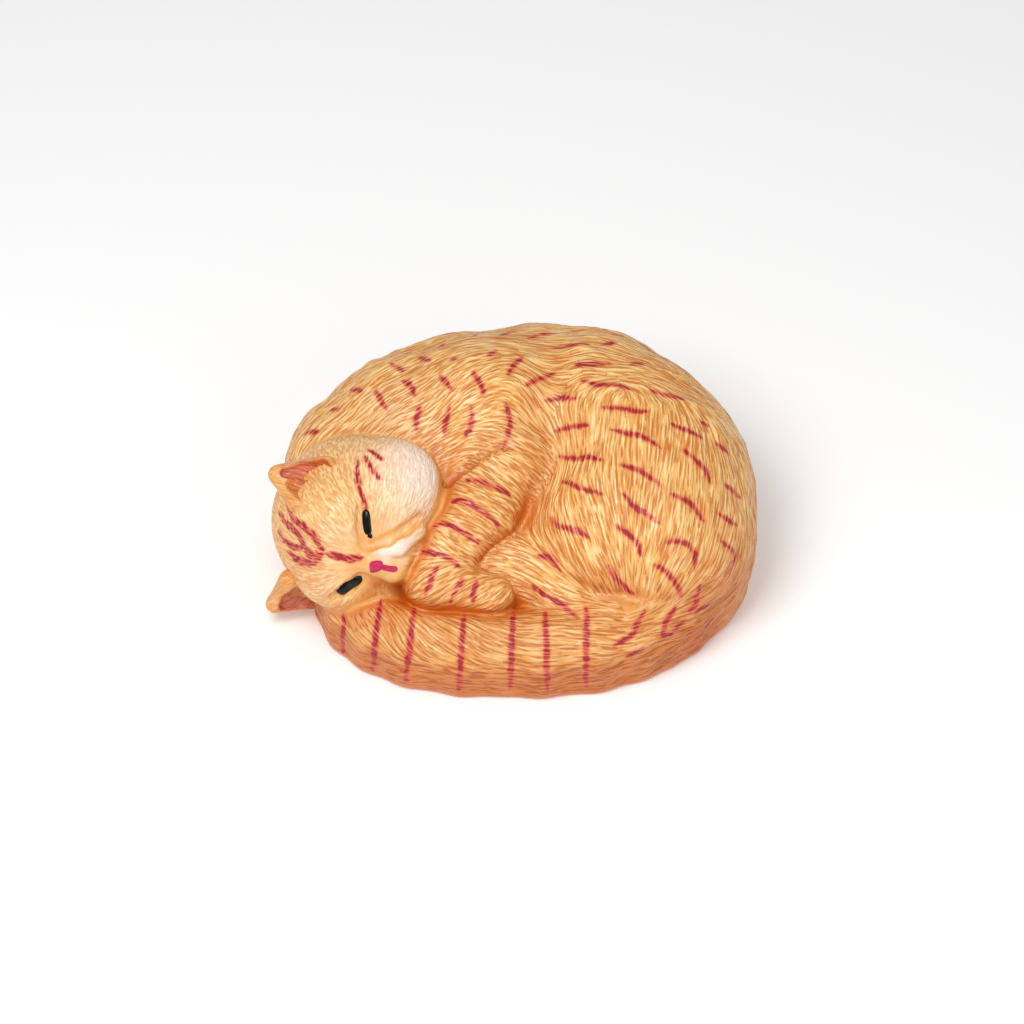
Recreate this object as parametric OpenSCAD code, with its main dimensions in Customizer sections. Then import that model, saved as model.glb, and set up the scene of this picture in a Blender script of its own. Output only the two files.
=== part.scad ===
// Curled, sleeping cat figurine in hand-painted ceramic.
// Millimetres. +Z up. The figurine rests on Z = 0 and its outer box is centred on the origin in X and Y.
// The tail wraps round the front, which faces -Y. The head lies at -X with its crown outwards.
// Lengths below are for a figurine 120 wide, and the whole model then scales with its width.

/* [Overall] */
// Width of the figurine, from the crown of the head to the rump
figure_w = 120; // [80:1:180]
// Extra height of the back and the haunch
back_rise = 0; // [-2:0.5:2]

/* [Castings] */
// Wall of the hollow castings
wall = 4; // [3:0.5:4.5]
// Radius of the vent through the base plate, which lets the air out of the kiln
vent_r = 4; // [2:0.5:6]
// Thickness of the base plate
plate_t = 3; // [2.5:0.5:4]
// Thickness of the felt under the base plate
felt_t = 1.2; // [0.8:0.2:1.6]

/* [Features] */
// Radius of the skull
skull_r = 21; // [19:0.5:21.5]
// Radius of the tail where it crosses the front
tail_front_r = 9.4; // [8:0.2:10]
// Radius of the left wrist
wrist_r = 7; // [5.6:0.2:7.2]

/* [Hidden] */
$fn = 28;

// Width over the stations below, and the middle of their outer box
design_w = 119.9;
mid = [-0.1, 0, 0];
rim_z = 0.2;        // the ceramic stands clear of the shelf by this much, on the felt
foot_ratio = 0.87;  // a flank's radius at the ground against its largest radius
foot_h = 1;
play = 0.5;         // gap round the base plate
cut = 1;            // overshoot of a cutting solid

// A station is [x, y, z, radius]. The spine runs from the rump round the outside to the neck.
SPINE = [[35, -10, 18.5, 24], [34, -1, 21.5, 26], [32.5, 4.5, 23.5, 26], [27.5, 11.5, 24.5, 26.2],
         [18.5, 20, 24.5, 26], [7, 23.5, 23.5, 25.5], [-12, 22, 22.5, 24.5], [-27, 17.5, 21.5, 22.5],
         [-36.5, 12.5, 19, 20]];
HAUNCH = [[35, -10, 18.5, 24], [25, -10, 21.5, 22], [20, 2, 20, 22]];
BELLY = [[20, 2, 20, 20], [8, -17, 14, 15], [-14, -16, 12, 14], [-27, 6, 16, 16]];
NECK = [[-24, 6, 28, 15], [-12, 2, 30, 11]];
SHOULDER = [[-18, 18, 28, 19], [-7, 14.5, 35.5, 17]];

LEG = [[-7, 14.5, 35.5, 16.2], [-1, 0.5, 34, 11.3], [-8, -11.7, 29, 10.2], [-16.3, -20.8, 24.5, 8.5],
       [-19.5, -28, 21, wrist_r], [-5, -31, 18.5, wrist_r - 1.2]];
FOOT = [[0, -21, 19, 8], [12, -29, 15, 6.5], [24, -34, 13, 7]];

// The tail follows an oval round the front, from its root on the rump to its tip under the chin.
// Its angles are counted from +X, and its radius is looked up by the angle turned.
TAIL_OVAL = [44.3, 39.5, 2.5];  // half length, half depth, squareness
tail_x = -1;        // the oval's centre
TAIL_ANGLES = [-22, -34, -44, -54, -68, -84, -100, -116, -130, -143, -155];
TAIL_R = [[22, 14], [30, 13], [45, 11], [60, 10.4], [90, tail_front_r], [120, 9.2],
          [140, 8.8], [155, 7]];
tail_lift = 0.95;   // height of the tail's axis against its radius

// The head has its own axes: left, forward to the nose, and up to the crown.
head_c = [-38.2, -11, 25];
nose_dir = unit([0.18, -0.94, 0.276]);
left_dir = unit(cross([-0.98, -0.177, 0.05], nose_dir));
crown_dir = cross(nose_dir, left_dir);
CHEEKS = [[10.5, 4.5, -8, 12.3], [-10.5, 4.5, -7, 12]];
MUZZLE = [[4.4, 16, -4.5, 5.2], [-4.4, 16, -4.5, 5.2], [0, 19.4, -1, 3.6], [0, 15, -8.5, 4.6],
          [0, 8, -2, 9]];
BROW = [[5.5, 8, 4.5, 12.4], [-5.5, 8, 4.5, 12.4]];
// Each ear: the outer and inner ends of its root, then its tip
LEFT_EAR = [[18.5, 4, 8, 2.4], [10.5, 8, 15.5, 2.2], [17, 1.5, 19.4, 1.6]];
RIGHT_EAR = [[-19, 3, 10.5, 2.4], [-11, 7, 18, 2.2], [-20.4, 1.5, 20.9, 1.6]];

cheek_inset = 4;    // the bead that a cheek grows from is smaller than the skull by this much
ear_base = 0.8;     // how far out the bead behind an ear lies, against the outer end of its root
ear_back_r = 3;     // radius of that bead, and its height above the root
ear_rim = 0.6;      // how far the hollow of an ear sits in front of its back wall
ear_lip = 1.5;      // how far it stays below the tip

// The plate closes an oval opening in the underside of the body.
OPENING = [40, 24];
opening_at = [4, 8];
oval_step = 5;      // angle between the corners of the oval
ledge_z = 6;        // height of the ring round the opening
neck_r = 6;         // passage for the slip between the body and the head
neck_at = [-30, 10, 20];            // its end in the body
TAIL_ROOT_VOID = [26, 0, 18, 8];    // the hollow of the tail starts in that of the body

function unit(v) = v / norm(v);
function power(v, n) = sign(v) * pow(abs(v), n);
function oval(o, t) = [o[0] * power(cos(t), 2 / o[2]), o[1] * power(sin(t), 2 / o[2])];
function on_head(s) = concat(head_c + s[0] * left_dir + s[1] * nose_dir + s[2] * crown_dir, [s[3]]);
function ear_back(s) = [ear_base * s[0], 0, s[2] + ear_back_r, ear_back_r];
function place(s) = [s[0], s[1], s[2]];
function raised(path) = [for (s = path) [s[0], s[1], s[2] + back_rise, s[3]]];
function thinner(path, t) = [for (s = path) [s[0], s[1], s[2], s[3] - t]];
function tail_path() = [for (a = TAIL_ANGLES) let (p = oval(TAIL_OVAL, a), r = lookup(-a, TAIL_R))
    [p[0] + tail_x, p[1], tail_lift * r, r]];

module bead(s) {
    translate(place(s)) sphere(r = s[3]);
}

// A bead with a broad foot under it, so that its flanks run down to the ground
module mound(s, ground) {
    bead(s);
    translate([s[0], s[1], ground]) cylinder(r = foot_ratio * s[3], h = foot_h);
}

module limb(path) {
    for (i = [0 : len(path) - 2])
        hull() {
            bead(path[i]);
            bead(path[i + 1]);
        }
}

module flank(path, ground) {
    for (i = [0 : len(path) - 2])
        hull() {
            mound(path[i], ground);
            mound(path[i + 1], ground);
        }
}

module above(z) {
    intersection() {
        children();
        translate([-design_w, -design_w, z]) cube(2 * design_w);
    }
}

module scaled() {
    scale(figure_w / design_w) translate(-mid) children();
}

module torso(t, ground) {
    flank(thinner(raised(SPINE), t), ground);
    flank(thinner(raised(HAUNCH), t), ground);
    flank(thinner(BELLY, t), ground);
    limb(thinner(SHOULDER, t));
    limb(thinner(NECK, t));
}

module skull(t) {
    bead(on_head([0, 0, 0, skull_r - t]));
    for (c = CHEEKS) hull() {
        bead(on_head([0, 0, 0, skull_r - cheek_inset - t]));
        bead(on_head([c[0], c[1], c[2], c[3] - t]));
    }
    hull() for (s = BROW) bead(on_head([s[0], s[1], s[2], s[3] - t]));
}

module muzzle() {
    hull() for (s = MUZZLE) bead(on_head(s));
}

module tail_solid() {
    above(rim_z) flank(tail_path(), rim_z);
}

module hollow_tail() {
    above(rim_z + wall) limb(concat([TAIL_ROOT_VOID], thinner(tail_path(), wall)));
}

module hollow_body() {
    above(ledge_z) torso(wall, rim_z);
}

module opening(grow, z0, z1) {
    translate([opening_at[0], opening_at[1], z0])
        linear_extrude(z1 - z0) polygon([for (a = [0 : oval_step : 360 - oval_step])
            [(OPENING[0] + grow) * cos(a), (OPENING[1] + grow) * sin(a)]]);
}

module neck_passage() {
    hull() {
        bead(concat(neck_at, [neck_r]));
        bead(on_head([0, 0, 0, neck_r]));
    }
}

module torso_solid() {
    above(rim_z) torso(0, rim_z);
}

module body_shell() {
    color([0.93, 0.66, 0.36]) scaled() difference() {
        torso_solid();
        hollow_body();
        hollow_tail();
        neck_passage();
        opening(0, -cut, ledge_z + cut);
    }
}

module head_shell() {
    color([0.95, 0.76, 0.52]) scaled() difference() {
        union() {
            skull(0);
            muzzle();
        }
        skull(wall);
        neck_passage();
        torso_solid();
        tail_solid();
    }
}

module ear(path) {
    color([0.92, 0.62, 0.36]) scaled() difference() {
        hull() {
            for (s = path) bead(on_head(s));
            bead(on_head(ear_back(path[0])));
        }
        hull() for (s = path) bead(on_head([s[0], s[1] + s[3] + ear_rim, s[2] - ear_lip, s[3]]));
        skull(0);
        torso_solid();
        tail_solid();
    }
}

module left_ear() {
    ear(LEFT_EAR);
}

module right_ear() {
    ear(RIGHT_EAR);
}

module left_foreleg() {
    color([0.94, 0.64, 0.33]) scaled() difference() {
        limb(LEG);
        torso_solid();
        tail_solid();
        skull(0);
        muzzle();
    }
}

module hind_foot() {
    color([0.9, 0.58, 0.28]) scaled() difference() {
        limb(FOOT);
        torso_solid();
        tail_solid();
        limb(LEG);
    }
}

module tail() {
    color([0.94, 0.67, 0.37]) scaled() difference() {
        tail_solid();
        hollow_tail();
        torso_solid();
    }
}

module base_plate() {
    color([0.93, 0.88, 0.8]) scaled() difference() {
        opening(-play, felt_t, felt_t + plate_t);
        translate([opening_at[0], opening_at[1], 0]) cylinder(r = vent_r, h = felt_t + plate_t + cut);
    }
}

module felt_base() {
    color([0.35, 0.25, 0.2]) scaled() difference() {
        opening(-play, 0, felt_t);
        translate([opening_at[0], opening_at[1], -cut]) cylinder(r = vent_r, h = felt_t + 2 * cut);
    }
}

body_shell();
head_shell();
left_ear();
right_ear();
left_foreleg();
hind_foot();
tail();
base_plate();
felt_base();
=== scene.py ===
"""Looks of a curled, sleeping ceramic cat.

The figurine is sculpted as distance fields in millimetres, in the frame of the CAD model, and each
field becomes one closed mesh: body, head, ears, foreleg, hind paw and tail. Locks of fur are carved
into the meshes along a flow over the coat. The finest strands are noise that the coat's material
smears along the same flow, which is kept at the vertices with the masks for the paint.
"""
import math
from concurrent.futures import ThreadPoolExecutor

import bpy
import numpy as np
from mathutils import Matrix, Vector


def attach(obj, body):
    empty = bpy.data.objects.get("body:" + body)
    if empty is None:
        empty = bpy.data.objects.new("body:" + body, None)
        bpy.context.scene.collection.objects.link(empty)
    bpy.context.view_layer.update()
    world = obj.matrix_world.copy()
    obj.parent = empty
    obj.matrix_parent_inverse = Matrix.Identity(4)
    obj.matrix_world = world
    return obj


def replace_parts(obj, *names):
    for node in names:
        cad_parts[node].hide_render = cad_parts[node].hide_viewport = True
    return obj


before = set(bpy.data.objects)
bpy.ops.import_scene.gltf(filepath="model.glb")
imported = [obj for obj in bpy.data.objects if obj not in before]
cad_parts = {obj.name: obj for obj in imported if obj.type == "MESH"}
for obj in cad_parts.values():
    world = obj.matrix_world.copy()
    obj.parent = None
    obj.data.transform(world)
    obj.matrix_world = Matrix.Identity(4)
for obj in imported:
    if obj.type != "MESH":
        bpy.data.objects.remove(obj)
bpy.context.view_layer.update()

MM = 0.001
MID = np.array([-0.1, 0.0, 0.0])       # middle of the stations' box, as in the CAD model
RIM_Z = 0.2                            # the ceramic's lowest level, on the felt
# Cells of the grids that the meshes are made on. Faces that show are cut in four afterwards.
BODY_CELL = 1.03
FINE_CELL = 0.58
EAR_CELL = 0.5
THREADS = 4
BATCH = 8000                           # points that a thread takes at a time
random = np.random.default_rng(7)
pool = ThreadPoolExecutor(THREADS)


# ---------------------------------------------------------------- stations: x, y, z, radius

# The spine runs from the rump round the outside to the neck
SPINE = [(35, -10, 18.5, 24), (34, -1, 21.5, 26), (32.5, 4.5, 23.5, 26), (27.5, 11.5, 24.5, 26.2),
         (18.5, 20, 24.5, 26), (7, 23.5, 23.5, 25.5), (-12, 22, 22.5, 24.5), (-27, 17.5, 21.5, 22.5),
         (-36.5, 12.5, 19, 20)]
HAUNCH = [(35, -10, 18.5, 24), (25, -10, 21.5, 22), (20, 2, 20, 22)]
BELLY = [(20, 2, 20, 20), (8, -17, 14, 15), (-14, -16, 12, 14), (-27, 6, 16, 16)]
SHOULDER = [(-18, 18, 27, 18.4), (-7, 14.5, 35.5, 17)]
NECK = [(-24, 6, 28, 15), (-12, 2, 30, 11)]
LEG = [(-7, 14.5, 34.5, 14.5), (-1, 0.5, 34, 11.3), (-8, -11.7, 29, 10.2), (-16.3, -20.8, 24.5, 8.5),
       (-19.5, -28, 21, 7), (-5, -31, 18.5, 5.8)]
FOOT = [(0, -21, 19, 8), (12, -29, 15, 6.5), (24, -34, 13, 7)]
FLANK_PULL = 0.13                      # share of its radius that a flank has lost at the ground

# The tail follows an oval round the front. Its angles are counted from +X.
TAIL_OVAL = (44.3, 39.5, 2.5)          # half length, half depth, squareness
TAIL_X = -1                            # the oval's centre
TAIL_ANGLES = [-22, -34, -44, -54, -68, -84, -100, -116, -130, -143, -155]
TAIL_R = [(22, 14), (30, 13), (45, 11), (60, 10.4), (90, 9.4), (120, 9.2), (140, 8.8), (155, 7)]
TAIL_LIFT = 0.95                       # height of the tail's axis against its radius

HEAD = np.array([-38.2, -11, 25])      # the middle of the skull


def unit(v):
    v = np.asarray(v, float)
    return v / np.maximum(np.linalg.norm(v, axis=-1, keepdims=True), 1e-9)


# The head's own axes: forward to the nose, to its left, and up to the crown
NOSE = unit([0.18, -0.94, 0.276])
LEFT = unit(np.cross([-0.98, -0.177, 0.05], NOSE))
CROWN = np.cross(NOSE, LEFT)


def spread(job, points):
    """A job on many points, done in parts side by side"""
    parts = np.array_split(points, max(1, len(points) // BATCH))
    return np.concatenate(list(pool.map(job, parts)))


def on_head(left, nose, crown):
    return HEAD + left * LEFT + nose * NOSE + crown * CROWN


def head_station(left, nose, crown, radius):
    return (*on_head(left, nose, crown), radius)


def head_chain(*stations):
    return [head_station(*station) for station in stations]


SKULL = head_station(0, 0, 0, 21)
CHEEKS = head_chain((10.5, 4.5, -8, 12.3), (-10.5, 4.5, -7, 12))
BROWS = head_chain((6.5, 9, 6, 11.2), (-6.5, 9, 6, 11.2))
BRIDGE = head_chain((0, 13.5, 8, 6), (0, 19.5, 1, 3))
PADS = [head_chain((2.4, 20.8, -0.8, 2.2), (3.2, 19.8, -6.5, 2.6), (4.9, 16.4, -11.7, 2.7)),
        head_chain((-2.2, 20.8, -1, 2), (-4, 19.6, -5.5, 2.6), (-5.5, 16.8, -10, 2.6))]
CHIN = head_chain((0, 21.8, 0.2, 2.1), (-0.9, 20.6, -3.5, 2), (-1.5, 18.6, -7.5, 2.4), (-1, 15, -11, 3.5))
# Chains pressed into the face: the hollows for the eyes, then the creases that set off the muzzle
HOLLOWS = [head_chain((5.2, 21.6, 1.5, 1.8), (9, 20.8, 1.5, 1.8), (12.8, 18.6, 1.8, 1.8)),
           head_chain((-4.8, 21.6, 2.6, 1.8), (-8, 20.4, 5.6, 1.8), (-10.5, 19, 8.5, 1.6)),
           head_chain((4.6, 21.4, -0.3, 1), (5.5, 20.9, -4.2, 1.1), (6.8, 18.9, -9, 1.1),
                      (8.6, 16.9, -13, 1.1)),
           head_chain((-4.8, 22, 1, 1.2), (-8.7, 19.8, -3.5, 1.5), (-11.7, 17, -9.5, 1.6))]
# Each ear: the outer and inner ends of its root, then its tip
LEFT_EAR = head_chain((18, 4, 8, 2.2), (10.5, 8, 15.5, 2.2), (15.6, 1.5, 19.6, 1.7))
RIGHT_EAR = head_chain((-19, 3, 10.5, 2.2), (-11, 7, 18, 2.2), (-20.4, 1.5, 20.9, 1.6))
LEFT_EAR_BACK = head_station(14.8, 0, 11, 3)
RIGHT_EAR_BACK = head_station(-15.2, 0, 13.5, 3)
# The hollow of an ear in two runs: a deep one behind its outer edge, and a shallow one on its wall.
# Each station is along, across, lift and radius, as on_ear takes them.
NARROW_RUNS = [[(0.15, 0.05, 1.8, 1.0), (0.5, 0.1, 2.2, 1.9), (0.88, 0.12, 2.4, 2.1)],
               [(0.2, 0.45, 3.3, 2.2), (0.3, 0.72, 3.6, 2.5)]]
WIDE_RUNS = [[(0.18, 0.07, 1.6, 1.1), (0.5, 0.12, 2.3, 2.3), (0.86, 0.15, 2.6, 2.6)],
             [(0.1, 0.22, 1.8, 1.0), (0.2, 0.5, 2.6, 2.1), (0.3, 0.72, 3.0, 2.6)]]

# The oval recess in the underside, for the base plate and the felt
OPENING = (40, 24)
OPENING_AT = (4, 8)
LEDGE_Z = 6


def tail_point(degrees):
    """Station of the tail at an angle round its oval."""
    t = math.radians(degrees)
    half_x, half_y, square = TAIL_OVAL
    x = half_x * math.copysign(abs(math.cos(t)) ** (2 / square), math.cos(t)) + TAIL_X
    y = half_y * math.copysign(abs(math.sin(t)) ** (2 / square), math.sin(t))
    r = float(np.interp(-degrees, [a for a, _ in TAIL_R], [r for _, r in TAIL_R]))
    return (x, y, TAIL_LIFT * r, r)


TAIL = [tail_point(a) for a in TAIL_ANGLES]


# ---------------------------------------------------------------- distance fields

def smooth_min(a, b, k):
    h = np.maximum(k - np.abs(a - b), 0) / k
    return np.minimum(a, b) - h * h * k / 4


def smooth_max(a, b, k):
    return -smooth_min(-a, -b, k)


def smoothstep(low, high, x):
    t = np.clip((x - low) / (high - low), 0, 1)
    return t * t * (3 - 2 * t)


def bead(p, s):
    return np.linalg.norm(p - np.array(s[:3]), axis=-1) - s[3]


def segment(p, a, b, squat=False):
    """Distance to a round link between two stations. A squat link keeps its flanks down to the ground."""
    pa = p - np.array(a[:3])
    ab = np.array(b[:3], float) - np.array(a[:3])
    if squat:
        t = np.clip((pa[..., 0] * ab[0] + pa[..., 1] * ab[1]) / (ab[0] ** 2 + ab[1] ** 2), 0, 1)
    else:
        t = np.clip(pa @ ab / (ab @ ab), 0, 1)
    off = pa - t[..., None] * ab
    r = a[3] + t * (b[3] - a[3])
    if squat:
        drop = np.maximum(-off[..., 2], 0) / (a[2] + t * (b[2] - a[2]))
        r = r * (1 - FLANK_PULL * np.minimum(drop, 1) ** 2)
        off[..., 2] = np.maximum(off[..., 2], 0)
    return np.linalg.norm(off, axis=-1) - r


def chain(p, stations, squat=False, k=1.5):
    """Links between stations, melted into one another over a width of k"""
    d = segment(p, stations[0], stations[1], squat)
    for a, b in zip(stations[1:-1], stations[2:]):
        d = smooth_min(d, segment(p, a, b, squat), k)
    return d


def rounded_triangle(p, a, b, c):
    """Distance to a flat web between three stations, as thick as they are"""
    a, b, c = (np.array(s, float) for s in (a, b, c))
    one, two = (b - a)[:3], (c - a)[:3]
    square = np.array([[one @ one, one @ two], [one @ two, two @ two]])
    off = p - a[:3]
    share = np.stack([off @ one, off @ two], -1) @ np.linalg.inv(square)
    u, v = share[..., 0], share[..., 1]
    radius = a[3] + u * (b[3] - a[3]) + v * (c[3] - a[3])
    web = np.abs(off @ unit(np.cross(one, two))) - radius
    edges = np.minimum(np.minimum(segment(p, a, b), segment(p, b, c)), segment(p, c, a))
    return np.where((u >= 0) & (v >= 0) & (u + v <= 1), np.minimum(web, edges), edges)


def on_ear(ear, along, across, lift, radius):
    """A station on an ear: along its outer edge from the tip, across to its inner edge, and up off the web"""
    outer, inner, tip = (np.array(s[:3]) for s in ear)
    face = unit(np.cross(outer - tip, inner - tip))
    face = face * np.sign(face @ NOSE)
    return (*(tip + along * (outer - tip) + across * (inner - tip) + lift * face), radius)


def scoops(ear, runs):
    """The hollow of an ear, as chains of stations"""
    return [[on_ear(ear, *station) for station in run] for run in runs]


def ear_field(ear, back, runs):
    """Three webs between an ear's stations and its back, hollowed out and cut off inside the skull"""
    hollow = scoops(ear, runs)

    def field(p):
        outer, inner, tip = ear
        d = rounded_triangle(p, outer, inner, tip)
        d = smooth_min(d, rounded_triangle(p, outer, back, tip), 2)
        d = smooth_min(d, rounded_triangle(p, inner, back, tip), 2)
        for run in hollow:
            d = smooth_max(d, -chain(p, run), 0.6)
        return smooth_max(d, -skull(p) - 2.2, 1)
    return field


def torso(p):
    d = chain(p, SPINE, True)
    d = smooth_min(d, chain(p, HAUNCH, True), 4)
    d = smooth_min(d, chain(p, BELLY, True), 4)
    d = smooth_min(d, chain(p, SHOULDER), 10)
    return smooth_min(d, chain(p, NECK), 4)


def skull(p):
    d = bead(p, SKULL)
    for s in CHEEKS:
        d = smooth_min(d, bead(p, s), 4)
    for s in BROWS:
        d = smooth_min(d, bead(p, s), 3)
    d = smooth_min(d, chain(p, BRIDGE), 3)
    for fold in (*PADS, CHIN):
        d = smooth_min(d, chain(p, fold), 1.2)
    for run in HOLLOWS:
        d = smooth_max(d, -chain(p, run), 1.2)
    return d


def tail(p):
    return chain(p, TAIL, True)


def foreleg(p):
    return chain(p, LEG, k=2.5)


def hind_foot(p):
    return chain(p, FOOT)


PARTS = {"body": torso, "head": skull, "tail": tail, "foreleg": foreleg, "hind_paw": hind_foot}
JOINS = {"head": 2.2, "tail": 1.4, "foreleg": 1, "hind_paw": 3}    # widths over which they melt together
ARM_JOIN = 2.2         # the foreleg's join is wider by this much above its wrist
SHOULDER_JOIN = 6      # and by this much more at the shoulder
OVERRUN = 3            # how far past a seam a piece is closed


def cat(p):
    """Distance to the whole cat, and to each of its masses."""
    masses = {name: field(p) for name, field in PARTS.items()}
    d = masses["body"]
    for name in ("tail", "head", "hind_paw"):
        d = smooth_min(d, masses[name], JOINS[name])
    arm = ARM_JOIN * smoothstep(-22, -8, p[..., 1]) + SHOULDER_JOIN * smoothstep(0, 14, p[..., 1])
    d = smooth_min(d, masses["foreleg"], JOINS["foreleg"] + arm)
    return smooth_max(d, RIM_Z - p[..., 2], 1.2), masses


def whole_cat(p):
    return cat(p)[0]


def rivalry(masses, name):
    """How much nearer the nearest other mass is than this one"""
    rest = np.min([d for other, d in masses.items() if other != name], axis=0)
    return masses[name] - rest


def piece_field(name):
    """One mass of the cat, closed, and slipped a little under its neighbours past the seam"""
    def field(p):
        whole, masses = cat(p)
        past = rivalry(masses, name)
        d = whole + 0.3 * np.maximum(past, 0) ** 1.5
        d = np.maximum(d, 0.6 * (past - OVERRUN))
        if name == "body":
            x = (p[..., 0] - OPENING_AT[0]) / OPENING[0]
            y = (p[..., 1] - OPENING_AT[1]) / OPENING[1]
            wall = (np.hypot(x, y) - 1) * OPENING[1]
            d = np.maximum(d, -np.maximum(wall, p[..., 2] - LEDGE_Z))
        return d
    return field


# ---------------------------------------------------------------- meshes from fields

BLOCK = 6               # nodes along a block of the grid


def grid_values(field, low, size, cell):
    """The field on a grid. Blocks of nodes that are far from the surface take their middle's value."""
    blocks = -(-size // BLOCK)
    index = np.stack(np.meshgrid(*[np.arange(n) for n in blocks], indexing="ij"), -1).reshape(-1, 3)
    middle = spread(field, low + cell * (index * BLOCK + (BLOCK - 1) / 2))
    near = np.abs(middle) < cell * BLOCK * 1.1
    value = np.repeat(np.repeat(np.repeat(middle.reshape(blocks), BLOCK, 0), BLOCK, 1), BLOCK, 2)
    inner = np.stack(np.meshgrid(*[np.arange(BLOCK)] * 3, indexing="ij"), -1).reshape(1, -1, 3)
    nodes = (index[near][:, None] * BLOCK + inner).reshape(-1, 3)
    value[tuple(nodes.T)] = spread(field, low + cell * nodes)
    return value[:size[0], :size[1], :size[2]]


def surface_net(field, low, high, cell):
    """Vertices and quads of a field's zero surface, one vertex to a grid cell that it crosses"""
    size = np.ceil((np.array(high) - low) / cell).astype(int) + 1
    value = grid_values(field, low, size, cell)
    cells = size - 1
    total = np.zeros((*cells, 3))
    count = np.zeros(cells)
    quads = []
    for axis in range(3):
        one, two = [i for i in range(3) if i != axis]
        a = np.moveaxis(value, (axis, one, two), (0, 1, 2))
        start, end = a[:-1], a[1:]
        crossed = (start < 0) != (end < 0)
        i, j, k = np.nonzero(crossed)
        t = start[i, j, k] / (start[i, j, k] - end[i, j, k])
        place = np.empty((len(i), 3))
        place[:, axis] = i + t
        place[:, one] = j
        place[:, two] = k
        around = []
        for dj, dk in ((1, 1), (0, 1), (0, 0), (1, 0)):
            index = np.empty((3, len(i)), int)
            index[axis], index[one], index[two] = i, j - dj, k - dk
            fits = (index[one] >= 0) & (index[two] >= 0)
            fits &= (index[one] < cells[one]) & (index[two] < cells[two])
            inside = index[:, fits]
            np.add.at(total, tuple(inside), place[fits])
            np.add.at(count, tuple(inside), 1)
            around.append(np.where(fits, (index[0] * cells[1] + index[1]) * cells[2] + index[2], -1))
        loop = np.stack(around, 1)
        flip = start[i, j, k] > 0
        if axis == 1:
            flip = ~flip
        loop[flip] = loop[flip][:, ::-1]
        quads.append(loop[(loop >= 0).all(1)])
    active = count > 0
    order = np.full(cells, -1)
    order[active] = np.arange(active.sum())
    points = low + cell * (total[active] / count[active][:, None])
    return points, order.ravel()[np.concatenate(quads)]


TETRAHEDRON = np.array([(1, 1, 1), (1, -1, -1), (-1, 1, -1), (-1, -1, 1)])


def gradient(field, p, step=0.1):
    """Direction in which the field grows fastest, from four samples round each point"""
    return unit(sum(spread(field, p + step * corner)[:, None] * corner for corner in TETRAHEDRON))


def settle(field, points, rounds):
    """Moves points on to the field's zero surface"""
    normal = gradient(field, points)
    for _ in range(rounds):
        points = points - 0.9 * spread(field, points)[:, None] * normal
    return points


def largest_part(points, quads):
    """Keeps the biggest connected part, so that no crumbs are left"""
    label = np.arange(len(points))
    while True:
        low = label[quads].min(1)
        new = label.copy()
        for i in range(4):
            np.minimum.at(new, quads[:, i], low)
        new = new[new]
        if (new == label).all():
            break
        label = new
    best = np.bincount(label).argmax()
    keep = label == best
    order = np.cumsum(keep) - 1
    return points[keep], order[quads[keep[quads[:, 0]]]]


def refine(points, quads, chosen):
    """Cuts the chosen quads in four. Their neighbours take in the new corners, so the mesh stays closed."""
    after = np.roll(quads, -1, axis=1)
    key = np.minimum(quads, after) * len(points) + np.maximum(quads, after)
    cut = np.unique(key[chosen])
    middles = (points[cut // len(points)] + points[cut % len(points)]) / 2
    centres = points[quads[chosen]].mean(1)
    mid = len(points) + np.searchsorted(cut, key)
    has_mid = np.isin(key, cut)
    first_centre = len(points) + len(cut)
    q, m = quads[chosen], mid[chosen]
    c = first_centre + np.arange(len(q))
    faces = [np.stack([q[:, i], m[:, i], c, m[:, i - 1]], 1) for i in range(4)]
    faces = np.concatenate(faces).tolist()
    rest = np.nonzero(~chosen)[0]
    plain = rest[~has_mid[rest].any(1)]
    faces += quads[plain].tolist()
    for r in rest[has_mid[rest].any(1)]:
        face = []
        for i in range(4):
            face.append(int(quads[r, i]))
            if has_mid[r, i]:
                face.append(int(mid[r, i]))
        faces.append(face)
    return np.concatenate([points, middles, centres]), faces


# ---------------------------------------------------------------- noise and fur

NOISE_SIZE = 64         # values along a side of the block that the noise repeats
NOISE_SPREAD = 0.34     # how far the noise strays from 0
NOISE = random.uniform(-1, 1, (NOISE_SIZE,) * 3)


def noise(p, scale, seed=0):
    """Smooth value noise, about -1 to 1, on cells of the given size"""
    q = p / scale + 17.3 * (seed + 1)
    cell = np.floor(q).astype(int)
    f = q - cell
    f = f * f * (3 - 2 * f)
    out = 0
    for corner in range(8):
        step = np.array([corner & 1, corner >> 1 & 1, corner >> 2 & 1])
        at = (cell + step) % NOISE_SIZE
        weight = np.prod(np.where(step, f, 1 - f), axis=-1)
        out = out + weight * NOISE[at[..., 0], at[..., 1], at[..., 2]]
    return out


TILT = unit([0, -0.7, 0.7])            # the coat's strokes circle round this axis, leaning to the front
TAIL_ROOT = np.array([29, -42, 8])


def turned(axis, normal):
    """The direction in the surface that runs round an axis"""
    return unit(np.cross(np.broadcast_to(axis, normal.shape), normal))


def alike(direction, guide):
    """A direction, or its opposite where that is nearer to the guide"""
    return direction * np.where((direction * guide).sum(-1) < 0, -1, 1)[:, None]


def mixed(one, two, share):
    return unit(one + (two - one) * share[:, None])


def flow_body(p, normal):
    """Round the back, down the flank to the root of the tail, and across the shoulder"""
    to_root = unit(TAIL_ROOT - p)
    around = alike(turned(TILT, normal), to_root)
    flank = smoothstep(0.35, 0.85, normal @ TILT) * smoothstep(16, 2, p[:, 1])
    shoulder = smoothstep(6, -8, p[:, 0]) * smoothstep(24, 12, p[:, 1]) * smoothstep(0.15, 0.5, normal[:, 2])
    return mixed(mixed(around, to_root, flank), unit([0.85, 0.45, 0.2]), shoulder)


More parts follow.
